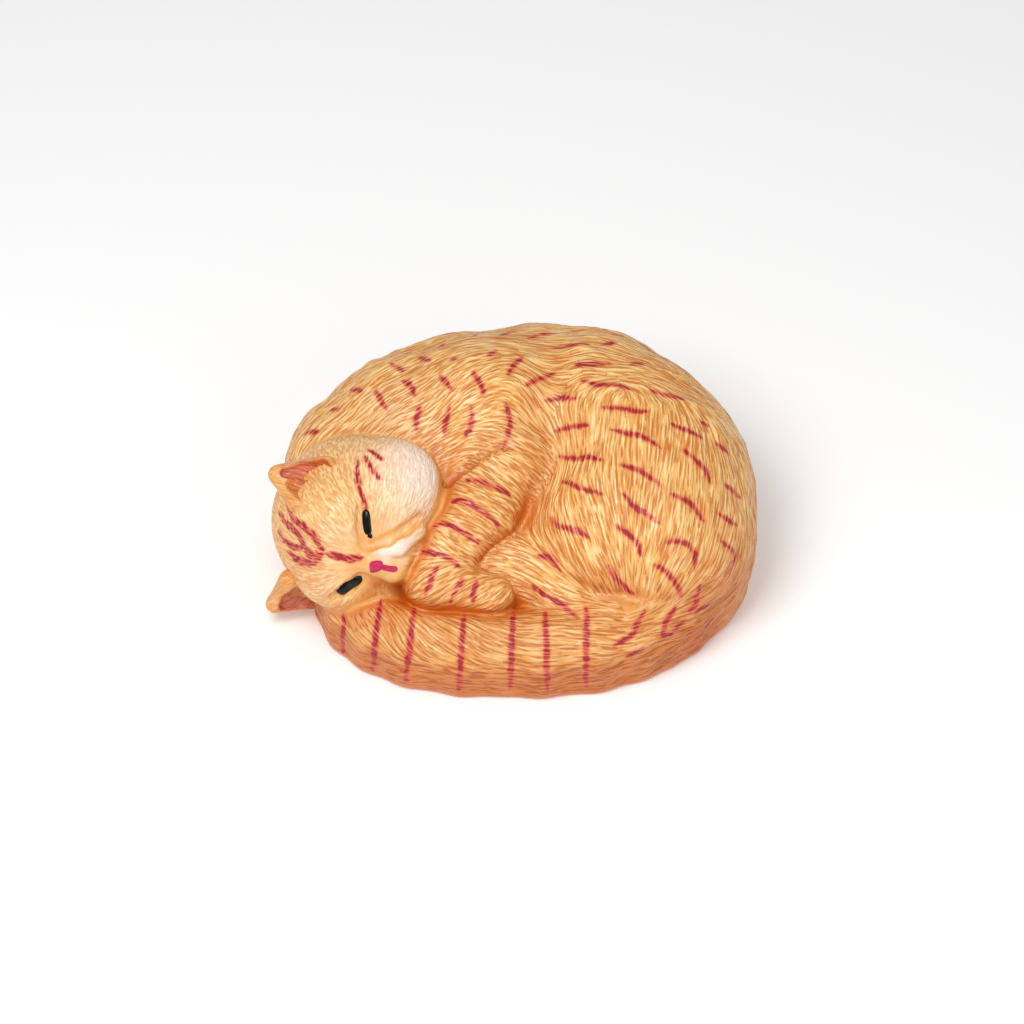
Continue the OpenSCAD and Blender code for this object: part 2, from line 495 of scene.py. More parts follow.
def flow_tail(p, normal):
    x = (p[:, 0] - TAIL_X) / TAIL_OVAL[0]
    y = p[:, 1] / TAIL_OVAL[1]
    along = unit(np.stack([-TAIL_OVAL[0] * y, TAIL_OVAL[1] * x, 0 * x], 1))
    fan = smoothstep(6, 17, p[:, 2]) * (0.2 + 0.5 * smoothstep(10, -35, p[:, 0]))
    return unit(along + fan[:, None] * np.array([0, -0.9, -0.9]))


def flow_leg(p, normal):
    """Round the arm like rings, and slanting over the paw"""
    guide = np.broadcast_to([1.0, 0.1, 0.1], p.shape)
    rings = alike(turned(unit([-18.5, -28.5, -13]), normal), guide)
    return mixed(rings, unit([0.85, 0.35, 0.35]), smoothstep(-26, -31, p[:, 1]))


def flow_head(p, normal):
    return unit(p - on_head(0, 26, -1))


def flow_foot(p, normal):
    return np.broadcast_to(unit([0.85, -0.5, -0.15]), p.shape)


FLOWS = {"body": flow_body, "head": flow_head, "tail": flow_tail, "foreleg": flow_leg, "hind_paw": flow_foot}


def shares(masses, width):
    """How much each mass has a say at each point"""
    nearest = np.min(list(masses.values()), axis=0)
    weight = {name: np.exp(-(masses[name] - nearest) / width) for name in masses}
    total = sum(weight.values())
    return {name: w / total for name, w in weight.items()}


def laid(direction, normal):
    """A direction laid into the surface"""
    return unit(direction - (direction * normal).sum(1)[:, None] * normal)


def flow(p, normal, masses):
    """The hair's direction in the surface, blended where two masses meet, and how far they agree there"""
    base = laid(flow_body(p, normal), normal)
    share = shares(masses, 1.2)
    total = sum(alike(laid(direction(p, normal), normal), base) * share[name][:, None]
                for name, direction in FLOWS.items())
    agreed = smoothstep(0.72, 0.92, np.linalg.norm(total, axis=1))
    total = unit(total)
    swirl = np.radians(13) * noise(p, 8, 3)
    return unit(total * np.cos(swirl)[:, None] + np.cross(normal, total) * np.sin(swirl)[:, None]), agreed


def smeared(p, along, width, length, seed):
    """Noise drawn out along the hair, with a spread of about 1"""
    steps = np.linspace(-1, 1, 2 * math.ceil(length / width) + 1)
    weight = np.cos(steps * math.pi / 2) ** 2 + 0.02
    total = sum(w * noise(p + along * (s * length / 2), width, seed) for s, w in zip(steps, weight))
    return total / (NOISE_SPREAD * np.sqrt(2 * weight.sum()))


def strands(p, along, width, length, seed):
    """Noise smeared along the hair: low in the grooves and high on the strands"""
    broad = smeared(p, along, width, length, seed)
    thin = smeared(p, along, 0.6 * width, 0.6 * length, seed + 20)
    return np.clip((broad + 0.55 * thin) / 1.14, -2.5, 2.5)


def valley(hair):
    """0 on a strand, to 1 in a groove"""
    return smoothstep(0.1, -1.3, hair)


def closed_in(p, normal):
    """0 in the open, towards 1 down a crease. The coat uses it for painted shade in its creases."""
    return sum(np.clip(1 - cat(p + reach * normal)[0] / reach, 0, 1) for reach in (1.5, 3.5, 7)) / 3


def sculpt(field, low, high, cell):
    """The piece's mesh, fine where it shows and coarse where it is hidden"""
    points, quads = surface_net(field, np.array(low, float), np.array(high, float), cell)
    points, quads = largest_part(points, quads)
    points = settle(field, points, 1)
    centre = points[quads].mean(1)
    shows = (spread(whole_cat, centre) > -0.6) & (centre[:, 2] > 1)
    points, faces = refine(points, quads, shows)
    return settle(field, points, 2), faces


# Soft spots of colour on the head: left, nose, crown, reach. The spots under the nose are painted shadow.
SHADOW_UNDER_NOSE = [(-7.5, 19.5, -2.5, 3.5), (-10.5, 17, -7, 3.5)]
PALE_CHEEK = [(17, 9, -16, 13), (3.6, 21, -7.5, 4), (2.6, 21.5, -3, 2.5)]
PALE_BROW = [(6, 17, 8, 6), (-7, 16, 9, 6)]
PALE_NECK = [(26, -4, -8, 12)]


def spots(points, places):
    """How near the points are to soft spots, added up"""
    total = 0
    for left, nose, crown, reach in places:
        away = np.linalg.norm(points - on_head(left, nose, crown), axis=1)
        total = total + np.exp(-(away / reach) ** 2)
    return total


def fur_shares(points, share):
    """How much of the fur is long, as on the flank, short, as on the legs, and fine, as on the head"""
    shoulder = smoothstep(4, -8, points[:, 0]) * smoothstep(26, 16, points[:, 1])
    fine = share["head"]
    short = (1 - fine) * np.clip(share["foreleg"] + share["hind_paw"] + share["body"] * shoulder, 0, 1)
    return 1 - fine - short, short, fine


def amber_and_shade_share(points, normal, share, closed, fold):
    """How amber the coat is: most in creases, as painted shade, and low on the sides, partly amber paint and
    partly painted shade, on the tail and on the rump. On the head it adds a painted shadow under the nose.
    """
    # Surfaces that turn away from the top: partly amber paint, partly painted shade
    side = smoothstep(0.5, -0.1, normal[:, 2]) * (0.3 + 0.7 * smoothstep(25, 0, points[:, 1]))
    rump = smoothstep(30, 55, points[:, 0]) * smoothstep(-12, -34, points[:, 1])
    # Creases and the shoulder's fold get painted shade
    amber_and_shade = closed + 0.5 * side + 0.16 * share["foreleg"] + 0.3 * share["tail"] + 0.4 * fold
    amber_and_shade = (amber_and_shade + 0.25 * rump) * (1 - 0.8 * share["head"])
    # A painted shadow under the nose
    return amber_and_shade + 0.5 * share["head"] * spots(points, SHADOW_UNDER_NOSE)


def paleness(points, fine, closed):
    """How chalky the wash is: on the cheek, the left whisker pad, the brow and a little of the neck"""
    pale = fine * np.clip(spots(points, PALE_CHEEK) + 0.25 * spots(points, PALE_BROW), 0, 1) + 0.05 * fine
    pale += 0.2 * spots(points, PALE_NECK) * (1 - fine)
    # No chalk down creases, so that the painted shade there shows
    return pale * (1 - np.clip(2 * closed, 0, 1))


def carve_part(points_and_normals):
    """Rows of depth, the masks in the order that carve takes them, and the comb's vector"""
    points, normal = points_and_normals[:, :3], points_and_normals[:, 3:]
    whole, masses = cat(points)
    share = shares(masses, 0.8)
    long, short, fine = fur_shares(points, share)
    shown = smoothstep(-1.6, -0.9, whole) * smoothstep(0.8, 3.0, points[:, 2])
    closed = closed_in(points, normal)
    fold = stroke_share(points, FOLD, 2.4) * shown
    along, agreed = flow(points, normal, masses)

    hair = (long + short) * strands(points, along, 0.95, 7, 1) + fine * strands(points, along, 0.6, 2.6, 4)
    locks = strands(points, along, 2.4, 12, 3)
    off_nose = smoothstep(5, 15, np.linalg.norm(points - on_head(0, 20, -2), axis=1))
    strength = shown * agreed * (long + 0.85 * short + fine * (0.08 + 0.34 * off_nose))
    strength *= 1 - 0.8 * smoothstep(0.35, 0.65, closed)
    ruff = smoothstep(-12, -24, points[:, 0]) * smoothstep(8, 20, points[:, 1])
    lift = (noise(points, 3.2, 5) * (0.1 + 0.25 * ruff) + 0.14 * locks) * (long + 0.5 * short) * shown
    depth = (0.2 + 0.3 * fine) * valley(hair) * strength - lift + 1.2 * fold

    groove = valley(hair) * agreed * (1 - 0.8 * fine)
    amber_and_shade = amber_and_shade_share(points, normal, share, closed, fold)
    pale = paleness(points, fine, closed)
    masks = np.clip(np.stack([groove, strength, paint(points), amber_and_shade, pale], 1), 0, 1)
    reach = (long + 0.6 * short + 0.4 * fine) * MM
    return np.concatenate([depth[:, None], masks, along * reach[:, None]], 1)


def carve(points, field):
    """Presses the fur into the surface. Gives the new points and the masks for the paint."""
    normal = gradient(field, points, 0.25)
    rows = spread(carve_part, np.concatenate([points, normal], axis=1))
    depth, groove, strength, brush, amber_and_shade, pale = rows[:, :6].T
    masks = {"coat": [groove, strength, brush], "tint_and_shade": [amber_and_shade, pale, 0 * amber_and_shade], "comb": rows[:, 6:].T}
    return points - depth[:, None] * normal, masks


# ---------------------------------------------------------------- strokes of paint

# Dashes on the body and bands on the foreleg, as places in plan that the brush passes over
DASHES = [
    [(-40, 20), (-37, 17)], [(-34, 16), (-31, 9)], [(-45, 16), (-43, 15)], [(-51, 12), (-48, 10)],
    [(-30, 24), (-27, 20)], [(-27, 16.5), (-25, 14), (-24, 11)], [(-23, 24), (-21, 21), (-20, 20)],
    [(-18, 14), (-15, 9)], [(-17, 28), (-18, 25)], [(-15, 19), (-14, 18)], [(-10, 12.5), (-8, 9.5), (-7, 7)],
    [(-22.5, 8.5), (-23.5, 6), (-23.5, 2.5)], [(-15.5, 5.5), (-17, 1)],
    [(-10, 4.5), (-10, 1.5), (-11.5, -0.5)], [(-1.5, 5), (-0.5, 1.5), (-1, -2), (-2.5, -5)],
    [(-4, 20.5), (-6, 18)], [(2.5, 18.5), (0.5, 15.5), (-1, 12.5)],
    [(-9, 31), (-10, 29)], [(0, 33), (-3, 30.5)],
    [(4, 28.5), (6.5, 30.5), (11, 31.5)], [(10, 24.5), (14.5, 25), (19, 25)], [(22, 25.5), (26, 27.5)],
    [(3.5, 10.5), (7, 13.5), (10.5, 15.5)], [(15.5, 17.5), (19, 17.5), (24, 18)], [(29, 18.5), (32.5, 19)],
    [(17, 12.5), (21, 11), (26.5, 10), (29.5, 8.5)], [(8, 8), (12, 8.5), (15.5, 8)],
    [(22, 4), (26.5, 3), (33, 2)],
    [(34, 9), (37.5, 8.5), (42, 8)], [(10.5, 1.5), (14, 1.3), (18.5, 0.3)],
    [(24, -2), (29.5, -4), (33, -5.5), (36, -7.5)], [(39, -0.5), (42.5, -1.5), (46.5, -2)],
    [(11.3, -4.3), (15, -6.5), (19, -8), (21.7, -9.5)], [(26, -11.5), (30, -13), (33.5, -15), (36, -16.5)],
    [(12, -12), (15, -14.7), (17.5, -16.7), (22, -18.7)], [(27, -19), (30, -22), (33, -23.5), (35.5, -25)],
    [(41.5, -7), (45, -9), (47, -10.7), (48.3, -13)],
    [(39, -18.7), (42, -19.5), (44.5, -20.5), (46.7, -22.7)],
    [(9.7, -19.7), (11.3, -22.3), (15, -24.5), (18.5, -26.7)],
    [(25.5, -25.5), (28, -27), (30, -28.3), (31.3, -30.5)],
    [(37.7, -28.6), (40.3, -28), (43, -28.3), (44.6, -29.3), (44.5, -31)],
    [(50.5, -19.3), (52.7, -19.3), (55, -18.7)],
    [(52, -11.5), (54, -11), (56, -10.8)], [(46.5, 3), (48.3, 2.5)], [(50, -1.5), (53, -2.5)],
    [(6.5, -25.3), (8.3, -25.7), (10, -26.8), (11.7, -28.7)],
    [(23.2, -31), (25, -32.3), (27.5, -33.3), (29.8, -34)],
    [(34.5, -31.8), (37, -32.4), (39.3, -33.3), (41.2, -34)], [(39.7, -35), (37.5, -38), (36.5, -40)],
    [(36.5, -40), (38.8, -38.8), (42, -36)], [(45.7, -32), (44.5, -33.5), (43, -34.7)],
    [(44.5, -34.3), (46, -33), (48, -31.5)],
    [(51, -24.3), (53.4, -24), (54.3, -24.3), (53.5, -25.7), (52.6, -27.2)],
    [(32.3, -37), (30.7, -39.5), (29.3, -42), (26.8, -43.3), (24.7, -44.5)],
    [(28, -44.7), (30, -44), (32.3, -43)],
    [(5, -30.7), (9, -33), (12.3, -35), (16, -39)],
    [(-11.4, -11.2), (-7.4, -12.7), (-3.7, -14), (-0.6, -14.4)],
    [(-14.8, -16.4), (-13, -16.2), (-10.5, -17.8), (-6.8, -19.7), (-3.4, -20.7)],
    [(-19.2, -21.4), (-17, -21), (-14, -22.3), (-10.5, -23.7), (-8, -24)],
    [(-22.6, -26), (-20, -27), (-17.5, -28), (-14.5, -29), (-13, -29.3)],
    [(-18.2, -30.6), (-19.5, -32.3), (-20, -34), (-21.3, -35)],
    [(-12, -31.8), (-13.3, -33.4), (-15, -35.6)], [(-8.3, -31.5), (-9.4, -34.2), (-9.6, -35.8)]]
# Bands over the tail: their x at the top and at the base
TAIL_BANDS = [(-40.3, -42), (-31.9, -34.3), (-23.7, -26.2), (-11.6, -13.2), (0.2, -0.6), (7.9, 8.6), (18, 18)]
# Strokes on the head: turn to its left and rise to its crown, in degrees from the nose's direction
CHEEK_STROKES = [
    [(36, 1), (45, 3), (54, 4), (62, 4), (72, 2)], [(78, -6), (72, -9), (66, -12)],
    [(73, -3), (66, -4), (60, -6), (54, -9)]]
BROW_STROKES = [
    [(9, 31), (16, 34), (23, 38), (29, 44), (34, 50), (41, 55), (60, 58)],
    [(4, 40), (5, 35), (7, 31)], [(7, 28), (5, 21), (4, 14), (5, 6)],
    [(8, 41), (11, 46), (20, 49), (25, 54), (32, 60), (41, 66), (60, 70)],
    [(20, 75), (9, 70), (4, 61), (7, 48)], [(0, 35), (-4, 39), (-8, 46), (-11, 55), (-10, 63)],
    [(6, 32), (4, 36), (5, 40), (7, 43)], [(2, 33), (1, 37), (2, 41), (4, 45)]]


def curve(points, steps=4):
    """More points on a smooth line through the given ones"""
    points = np.array(points, float)
    ends = np.concatenate([[2 * points[0] - points[1]], points, [2 * points[-1] - points[-2]]])
    out = []
    for before, start, end, after in zip(ends, ends[1:], ends[2:], ends[3:]):
        for t in np.arange(steps) / steps:
            square = 2 * before - 5 * start + 4 * end - after
            cube = 3 * start - before - 3 * end + after
            out.append(0.5 * (2 * start + (end - before) * t + square * t ** 2 + cube * t ** 3))
    return np.array(out + [points[-1]])


STEPS = 60              # moves that bring a place on to the surface
STEP = 0.9              # length of a move against the distance left
OVER = 60.0             # a height above the cat
LOWEST = 0.5            # height that no place is brought below


def dropped(plan):
    """Places in plan, brought down on to the cat"""
    p = np.concatenate([plan, np.full((len(plan), 1), OVER)], axis=1)
    for _ in range(STEPS):
        p[:, 2] = np.maximum(p[:, 2] - STEP * cat(p)[0], LOWEST)
    return p


def cast(start, direction, field=whole_cat):
    """Where rays from inside the cat come out"""
    reach = np.zeros(len(direction))
    for _ in range(STEPS):
        reach -= STEP * field(start + reach[:, None] * direction)
    return start + reach[:, None] * direction


def head_ray(angles):
    """Directions from the middle of the head, by their turn to its left and rise to its crown"""
    turn, rise = np.radians(angles).T
    flat = (np.cos(rise) * np.sin(turn))[:, None] * LEFT + (np.cos(rise) * np.cos(turn))[:, None] * NOSE
    return flat + np.sin(rise)[:, None] * CROWN


def on_face(angles, steps=4):
    return cast(HEAD, head_ray(curve(angles, steps)))


BAND_POINTS = 14


def tail_band(top, base):
    """Over the tail from its inner side, down its outer face to the base"""
    axis = np.array([tail_point(a)[:3] for a in range(-156, -40, 2)])
    x = np.linspace(top, base, BAND_POINTS)
    start = np.stack([x, np.interp(x, axis[:, 0], axis[:, 1]), np.interp(x, axis[:, 0], axis[:, 2])], 1)
    rise = np.radians(np.linspace(112, -30, BAND_POINTS))
    path = cast(start, np.stack([0 * x, -np.cos(rise), np.sin(rise)], 1), tail)
    return path[(path[:, 2] > 1.5) & (rivalry(cat(path)[1], "tail") < 0)]


def all_strokes():
    """Every stroke as its path on the surface and the half width of its middle"""
    out = [(dropped(curve(dash)), 0.85) for dash in DASHES]
    out += [(tail_band(*band), 0.9) for band in TAIL_BANDS]
    out += [(on_face(stroke), 0.75) for stroke in CHEEK_STROKES]
    out += [(on_face(stroke), 1.15) for stroke in BROW_STROKES]
    return out


STROKES = all_strokes()
# The crease from the armpit over the shoulder, pressed in and darkened with painted shade
FOLD = dropped(curve([(-16, -9.5), (-8.5, -6), (-2.5, -4.8), (2, -5.5)]))


def along_path(points, path, reach):
    """Indices of the points near a path, with their distance from it and their share of its length"""
    for i, (a, b) in enumerate(zip(path, path[1:])):
        close = np.nonzero((np.abs(points - (a + b) / 2) < np.abs(b - a) / 2 + reach).all(1))[0]
        if len(close):
            t = np.clip((points[close] - a) @ (b - a) / max((b - a) @ (b - a), 1e-9), 0, 1)
            away = np.linalg.norm(points[close] - a - t[:, None] * (b - a), axis=1)
            yield close, away, (i + t) / (len(path) - 1)


def stroke_share(points, path, reach):
    """A soft trough along a path, fading at its far end"""
    mask = np.zeros(len(points))
    for close, away, share in along_path(points, path, reach):
        mask[close] = np.maximum(mask[close], smoothstep(reach, 0, away) * smoothstep(1.1, 0.7, share))
    return mask


def paint(points):
    """How much crimson the brush left: full along a stroke, ragged at its edges and thin at its ends"""
    mask = np.zeros(len(points))
    ragged = noise(points, 0.9, 9)
    for path, width in STROKES:
        for close, away, share in along_path(points, path, 2.5):
            half = width * (0.5 + 0.5 * np.sin(np.pi * share) ** 0.5) + 0.3 * ragged[close]
            mask[close] = np.maximum(mask[close], smoothstep(half + 0.5, half - 0.7, away))
    return mask


# ---------------------------------------------------------------- materials

def srgb(red, green, blue):
    """A paint's colour from its 0 to 255 screen values"""
    return tuple(((c / 255 + 0.055) / 1.055) ** 2.4 for c in (red, green, blue)) + (1,)


class Nodes:
    """A material's node tree, with short calls for the nodes that the paints share"""

    def __init__(self, name):
        self.material = bpy.data.materials.new(name)
        self.material.use_nodes = True
        self.tree = self.material.node_tree
        self.shader = self.tree.nodes["Principled BSDF"]

    def add(self, kind, **inputs):
        node = self.tree.nodes.new(kind)
        for key, value in inputs.items():
            self.put(node.inputs[key.replace("_", " ")], value)
        return node

    def put(self, socket, value):
        if isinstance(value, bpy.types.NodeSocket):
            self.tree.links.new(value, socket)
        else:
            socket.default_value = value

    def math(self, operation, one, two=0.0, clamp=False):
        node = self.tree.nodes.new("ShaderNodeMath")
        node.operation = operation
        node.use_clamp = clamp
        self.put(node.inputs[0], one)
        self.put(node.inputs[1], two)
        return node.outputs[0]

    def ramp(self, value, low, high, to_low, to_high):
        node = self.tree.nodes.new("ShaderNodeMapRange")
        node.interpolation_type = "SMOOTHSTEP"
        for socket, v in zip(node.inputs, (value, low, high, to_low, to_high)):
            self.put(socket, v)
        return node.outputs[0]

    def mix(self, share, one, two):
        node = self.tree.nodes.new("ShaderNodeMix")
        node.data_type = "RGBA"
        self.put(node.inputs[0], share)
        self.put(node.inputs[6], one)
        self.put(node.inputs[7], two)
        return node.outputs[2]

    def noise(self, scale, detail=2.0):
        place = self.tree.nodes.new("ShaderNodeTexCoord").outputs["Object"]
        return self.add("ShaderNodeTexNoise", Vector=place, Scale=scale, Detail=detail).outputs["Fac"]

    def combed(self, attribute, cell, samples):
        """Noise smeared along the vectors that an attribute holds"""
        place = self.tree.nodes.new("ShaderNodeTexCoord").outputs["Object"]
        comb = self.tree.nodes.new("ShaderNodeAttribute")
        comb.attribute_name = attribute
        middle = (samples - 1) / 2
        weights = [math.cos((i - middle) / samples * math.pi) ** 2 for i in range(samples)]
        total = 0.0
        for i, weight in enumerate(weights):
            moved = self.tree.nodes.new("ShaderNodeVectorMath")
            moved.operation = "MULTIPLY_ADD"
            self.put(moved.inputs[0], comb.outputs["Vector"])
            moved.inputs[1].default_value = [COMB_STEP * (i - middle)] * 3
            self.put(moved.inputs[2], place)
            speck = self.add("ShaderNodeTexNoise", Vector=moved.outputs[0], Scale=1 / (cell * MM), Detail=0.0)
            part = self.tree.nodes.new("ShaderNodeMath")
            part.operation = "MULTIPLY_ADD"
            self.put(part.inputs[0], speck.outputs["Fac"])
            self.put(part.inputs[1], weight / sum(weights))
            self.put(part.inputs[2], total)
            total = part.outputs[0]
        return total

    def mask(self, name):
        """The three channels of a mask at the vertices"""
        source = self.tree.nodes.new("ShaderNodeAttribute")
        source.attribute_name = name
        split = self.add("ShaderNodeSeparateColor", Color=source.outputs["Color"])
        return [split.outputs[i] for i in range(3)]

    def bump(self, height, strength, distance):
        bump = self.add("ShaderNodeBump", Height=height, Strength=strength, Distance=distance)
        self.put(self.shader.inputs["Normal"], bump.outputs[0])


CREAM = srgb(253, 222, 160)
SAND = srgb(245, 190, 110)
HONEY = srgb(236, 170, 90)
AMBER = srgb(200, 98, 20)
RUST = srgb(146, 58, 12)
CHALK = srgb(250, 230, 214)
BLUSH = srgb(216, 84, 66)
CRIMSON = srgb(162, 10, 26)
ROSE = srgb(212, 110, 92)
COMB_CELL = 0.52        # cell of the noise that is smeared into strands, in mm
COMB_SAMPLES = 17
COMB_STEP = 0.44        # between two samples of the smeared noise, against the length of the comb's vectors
COMB_SPREAD = 0.0385    # how far the smeared noise strays from a half


def hair_level(spreads):
    """A value of the smeared noise, by its spreads above the middle: low in grooves, high on strands"""
    return 0.5 + spreads * COMB_SPREAD


def coat_material():
    """Warm washes over cream, darker in the grooves, with crimson brushed over the ridges. The strands' tops
    are lighter cream as a painted highlight, and the amber is partly painted shade in creases and on the
    sides.
    """
    m = Nodes("coat")
    groove, strength, brush = m.mask("coat")
    amber_and_shade, pale, rose = m.mask("tint_and_shade")
    hair = m.combed("comb", COMB_CELL, COMB_SAMPLES)
    parted = m.ramp(hair, hair_level(-1.5), hair_level(-0.1), 1.0, 0.0)
    line = m.math("MULTIPLY", parted, strength)
    # Strand tops lighter cream: a painted highlight
    crest_highlight = m.ramp(hair, hair_level(0.2), hair_level(1.6), 0.0, 0.8)
    crest_highlight = m.math("MULTIPLY", crest_highlight, m.ramp(strength, 0.0, 0.7, 0.0, 1.0))
    cloudy = m.ramp(m.noise(150, 2), 0.35, 0.7, 0.0, 1.0)
    speckle = m.noise(1500, 2)
    base = m.mix(cloudy, HONEY, SAND)
    base = m.mix(crest_highlight, base, CREAM)
    base = m.mix(m.math("MULTIPLY", groove, 0.22), base, AMBER)
    # Amber that is partly painted shade in creases, on the sides and under the nose
    base = m.mix(amber_and_shade, base, AMBER)
    base = m.mix(pale, base, CHALK)
    base = m.mix(rose, base, ROSE)
    # Lines run to rust where the painted shade is
    dark = m.mix(amber_and_shade, AMBER, RUST)
    base = m.mix(m.math("MULTIPLY", line, m.ramp(pale, 0.0, 1.0, 0.72, 0.3)), base, dark)
    beads = m.ramp(hair, hair_level(-0.9), hair_level(1.2), 1.0, 0.15)
    cover = m.math("MULTIPLY", brush, m.math("ADD", m.math("MULTIPLY", beads, 0.5), 0.8), clamp=True)
    base = m.mix(cover, base, m.mix(m.math("MULTIPLY", beads, cover), BLUSH, CRIMSON))
    m.put(m.shader.inputs["Base Color"], base)
    m.put(m.shader.inputs["Roughness"], m.ramp(speckle, 0.3, 0.7, 0.3, 0.44))
    m.put(m.shader.inputs["Specular IOR Level"], 0.5)
    height = m.math("MULTIPLY", m.ramp(hair, hair_level(-1.8), hair_level(0.9), -1.0, 0.0), strength)
    m.bump(m.math("ADD", m.math("MULTIPLY", speckle, 0.15), height), 0.6, 0.0003)
    return m.material


def enamel_material(name, colour, shade):
    """Glossy enamel, a little uneven, as it dries from a fine brush"""
    m = Nodes(name)
    flow_marks = m.noise(700, 2)
    m.put(m.shader.inputs["Base Color"], m.mix(m.ramp(flow_marks, 0.35, 0.7, 0.0, 1.0), colour, shade))
    m.put(m.shader.inputs["Roughness"], m.ramp(flow_marks, 0.3, 0.7, 0.15, 0.28))
    m.put(m.shader.inputs["Specular IOR Level"], 0.25)
    m.bump(flow_marks, 0.25, 0.0002)
    return m.material


def bisque_material():
    """Bare fired clay, with fine pits and a few darker flecks"""
    m = Nodes("bisque")
    grain, flecks = m.noise(2600, 3), m.noise(420, 4)
    base = m.mix(m.ramp(grain, 0.3, 0.7, 0.0, 1.0), srgb(236, 222, 200), srgb(222, 204, 178))
    base = m.mix(m.ramp(flecks, 0.62, 0.7, 0.0, 0.6), base, srgb(176, 148, 118))
    m.put(m.shader.inputs["Base Color"], base)
    m.put(m.shader.inputs["Roughness"], m.ramp(grain, 0.3, 0.7, 0.75, 0.92))
    m.bump(grain, 0.4, 0.0002)
    return m.material


def felt_material():
    """Pressed wool: matted fibres, lighter where they stand up"""
    m = Nodes("felt")
    mat, fibre = m.noise(900, 5), m.noise(4200, 4)
    base = m.mix(m.ramp(mat, 0.35, 0.65, 0.0, 1.0), srgb(84, 58, 42), srgb(112, 82, 60))
    base = m.mix(m.ramp(fibre, 0.55, 0.75, 0.0, 0.7), base, srgb(150, 120, 94))
    m.put(m.shader.inputs["Base Color"], base)
    m.put(m.shader.inputs["Roughness"], m.ramp(fibre, 0.3, 0.7, 0.88, 1.0))
    m.put(m.shader.inputs["Sheen Weight"], 0.4)
    m.bump(m.math("ADD", mat, fibre), 0.6, 0.0004)
    return m.material


# ---------------------------------------------------------------- the pieces

def build(name, points, faces, masks, material):
    """A piece from a mesh in millimetres and its masks"""
    mesh = bpy.data.meshes.new(name)
    mesh.from_pydata(((points - MID) * MM).tolist(), [], faces)
    mesh.polygons.foreach_set("use_smooth", np.ones(len(mesh.polygons), bool))
    for key, channels in masks.items():
        layer = mesh.color_attributes.new(key, "FLOAT_COLOR", "POINT")
        rgba = np.ones((len(points), 4), np.float32)
        rgba[:, :3] = np.stack(channels, 1)
        layer.data.foreach_set("color", rgba.ravel())
    mesh.materials.append(material)
    mesh.update()
    piece = bpy.data.objects.new(name, mesh)
    bpy.context.scene.collection.objects.link(piece)
    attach(piece, "root")
    return piece


def make_mass(name, node, low, high, cell):
    """One of the cat's masses, with its fur. Its grid runs from low to high."""
    field = piece_field(name)
    points, faces = sculpt(field, low, high, cell)
    points, masks = carve(points, field)
    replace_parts(build(name, points, faces, masks, coat), node)


EAR_MARGIN = 4          # of an ear's grid, past its corners


def make_ear(name, ear, back, runs):
    """An ear, with its hollow painted"""
    field = ear_field(ear, back, runs)
    corners = np.array([s[:3] for s in (*ear, back)])
    low, high = corners.min(0) - EAR_MARGIN, corners.max(0) + EAR_MARGIN
    points, quads = largest_part(*surface_net(field, low, high, EAR_CELL))
    shows = whole_cat(points[quads].mean(1)) > -0.3
    points, faces = refine(points, quads, shows)
    points = settle(field, points, 2)
    normal = gradient(field, points, 0.2)
    outer, inner, tip = (np.array(s[:3]) for s in ear)
    along = unit(tip - (outer + inner) / 2)
    along = unit(along - (normal @ along)[:, None] * normal)
    hair = strands(points, along, 0.5, 5, 6)
    deep, shallow = (smoothstep(0.9, 0.1, chain(points, run)) for run in scoops(ear, runs))
    far = smoothstep(4, 12, np.linalg.norm(points - tip, axis=1))
    strength = 0.35 + 0.3 * np.maximum(deep, shallow)
    rose = np.clip(0.7 * deep * (1 - 0.8 * far), 0, 1)
    # The amber in the ear's hollow, more away from the tip, is painted shade
    amber_and_shade = np.clip(0.3 + deep * (0.4 + 0.6 * far) + 0.5 * shallow, 0, 1)
    none = 0 * hair
    masks = {"coat": [valley(hair), strength, none], "tint_and_shade": [amber_and_shade, none, rose], "comb": (0.6 * MM * along).T}
    points = points - (0.2 * valley(hair) * strength)[:, None] * normal
    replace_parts(build(name, points, faces, masks, coat), name)


ROUND = 12      # points round an enamel stroke


def make_enamel(name, path, half_width, height, material):
    """A raised stroke of enamel, rounded off at both ends"""
    normal = gradient(whole_cat, path, 0.3)
    along = unit(np.gradient(path, axis=0))
    across = unit(np.cross(normal, along))
    end = np.linspace(-1, 1, len(path))
    full = np.sqrt(np.clip(1 - np.abs(end) ** 5, 0.02, 1))
    turn = np.linspace(0, 2 * math.pi, ROUND, endpoint=False)
    wide = (half_width * full)[:, None, None] * np.cos(turn)[None, :, None] * across[:, None]
    high = (height * full)[:, None, None] * np.sin(turn)[None, :, None] * normal[:, None]
    rings = path[:, None] + wide + high
    faces = []
    for ring in range(0, (len(path) - 1) * ROUND, ROUND):
        for i in range(ROUND):
            after = (i + 1) % ROUND
            faces.append((ring + i, ring + after, ring + ROUND + after, ring + ROUND + i))
    first_of_last = (len(path) - 1) * ROUND
    faces += [tuple(reversed(range(ROUND))), tuple(range(first_of_last, first_of_last + ROUND))]
    build(name, rings.reshape(-1, 3), faces, {}, material)


coat = coat_material()
make_mass("body", "body_shell", (-59, -36, -1), (62, 51, 55), BODY_CELL)
make_mass("head", "head_shell", (-62, -37, 1), (-12, 12, 52), FINE_CELL)
make_mass("tail", "tail", (-53, -52, -1), (60, -8, 26), FINE_CELL)
make_mass("foreleg", "left_foreleg", (-30, -40, 9), (16, 34, 56), FINE_CELL)
make_mass("hind_paw", "hind_foot", (-8, -44, 3), (35, -12, 26), FINE_CELL)
make_ear("left_ear", LEFT_EAR, LEFT_EAR_BACK, NARROW_RUNS)
make_ear("right_ear", RIGHT_EAR, RIGHT_EAR_BACK, WIDE_RUNS)

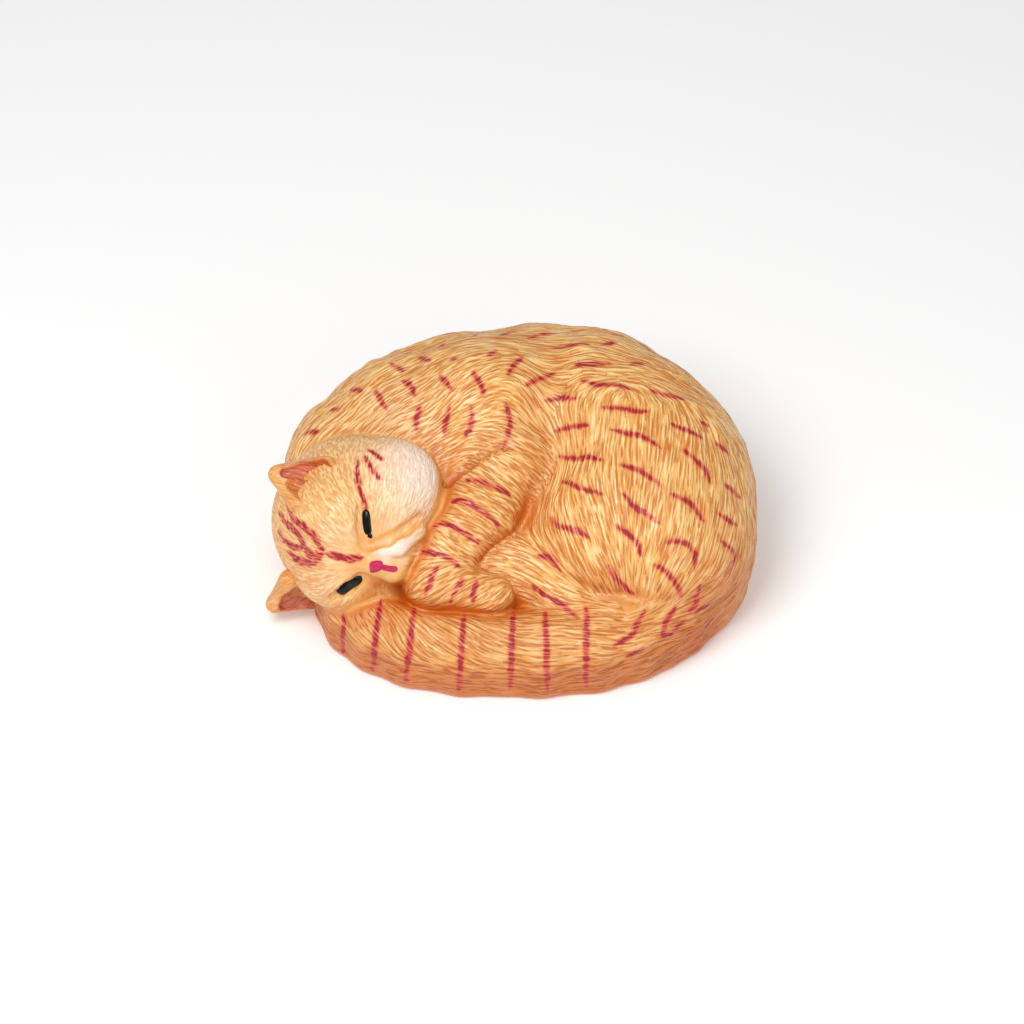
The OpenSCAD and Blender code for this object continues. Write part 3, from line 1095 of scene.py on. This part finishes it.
black = enamel_material("black_enamel", srgb(5, 4, 4), srgb(12, 9, 9))
pink = enamel_material("pink_enamel", srgb(205, 48, 104), srgb(190, 36, 70))
make_enamel("left_eye", on_face([(36, 1.5), (27, 1.7), (18.5, 1)], 8), 1.05, 0.5, black)
make_enamel("left_eye_corner", on_face([(19, 1), (18, 0), (18, -1.5)], 6), 0.6, 0.3, black)
make_enamel("right_eye", on_face([(-29, 21.5), (-22.5, 15), (-13, 6.4)], 8), 1.5, 0.9, black)
make_enamel("nose", on_face([(3.5, -2), (0, -2), (-4, -3)], 8), 1.9, 0.5, pink)
make_enamel("mouth", on_face([(-1, -5), (-4, -11), (-6, -16)], 8), 0.8, 0.35, pink)

for node, material in (("base_plate", bisque_material()), ("felt_base", felt_material())):
    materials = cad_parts[node].data.materials
    materials.clear()
    materials.append(material)


# ---------------------------------------------------------------- stage, light and camera

FLOOR_HALF = 3          # half the floor's width, in metres as the places and sizes below
MIDDLE = (0, 0, 0.02)   # of the figurine, where the lights point
LENS = 300              # in millimetres, as the sensor is
SENSOR = 36
TILT_DOWN = math.radians(45)
AIM = Vector((0.0, -0.002, 0.019))
SPAN = 0.2528           # the picture's width where the camera aims


def make_floor():
    """A plain pale floor"""
    mesh = bpy.data.meshes.new("floor")
    w = FLOOR_HALF
    mesh.from_pydata([(-w, -w, 0), (w, -w, 0), (w, w, 0), (-w, w, 0)], [], [(0, 1, 2, 3)])
    floor = bpy.data.objects.new("floor", mesh)
    bpy.context.scene.collection.objects.link(floor)
    m = Nodes("floor")
    m.put(m.shader.inputs["Base Color"], (0.98, 0.98, 0.98, 1))
    m.put(m.shader.inputs["Emission Color"], (1, 1, 1, 1))
    m.put(m.shader.inputs["Emission Strength"], 0.12)
    mesh.materials.append(m.material)


def place(thing, location, target):
    """Puts a light or the camera at a place, turned to its target"""
    thing.location = location
    thing.rotation_euler = (Vector(target) - Vector(location)).to_track_quat("-Z", "Y").to_euler()
    bpy.context.scene.collection.objects.link(thing)


def make_light(name, location, size, power):
    data = bpy.data.lights.new(name, "AREA")
    data.size = size
    data.energy = power
    place(bpy.data.objects.new(name, data), location, MIDDLE)


def make_world(strength):
    """Soft white light from all round"""
    world = bpy.data.worlds.new("world")
    world.use_nodes = True
    world.node_tree.nodes["Background"].inputs["Color"].default_value = (1, 1, 1, 1)
    world.node_tree.nodes["Background"].inputs["Strength"].default_value = strength
    bpy.context.scene.world = world
    bpy.context.scene.view_settings.view_transform = "Standard"


def make_camera():
    data = bpy.data.cameras.new("camera")
    data.lens = LENS
    data.sensor_width = SENSOR
    camera = bpy.data.objects.new("camera", data)
    back = Vector((0, -math.cos(TILT_DOWN), math.sin(TILT_DOWN)))
    place(camera, AIM + SPAN * LENS / SENSOR * back, AIM)
    bpy.context.scene.camera = camera


make_floor()
make_light("key", (-0.16, -0.26, 0.52), 0.3, 2.2)
make_light("fill", (0.42, -0.4, 0.35), 0.5, 0.7)
make_world(0.45)
make_camera()
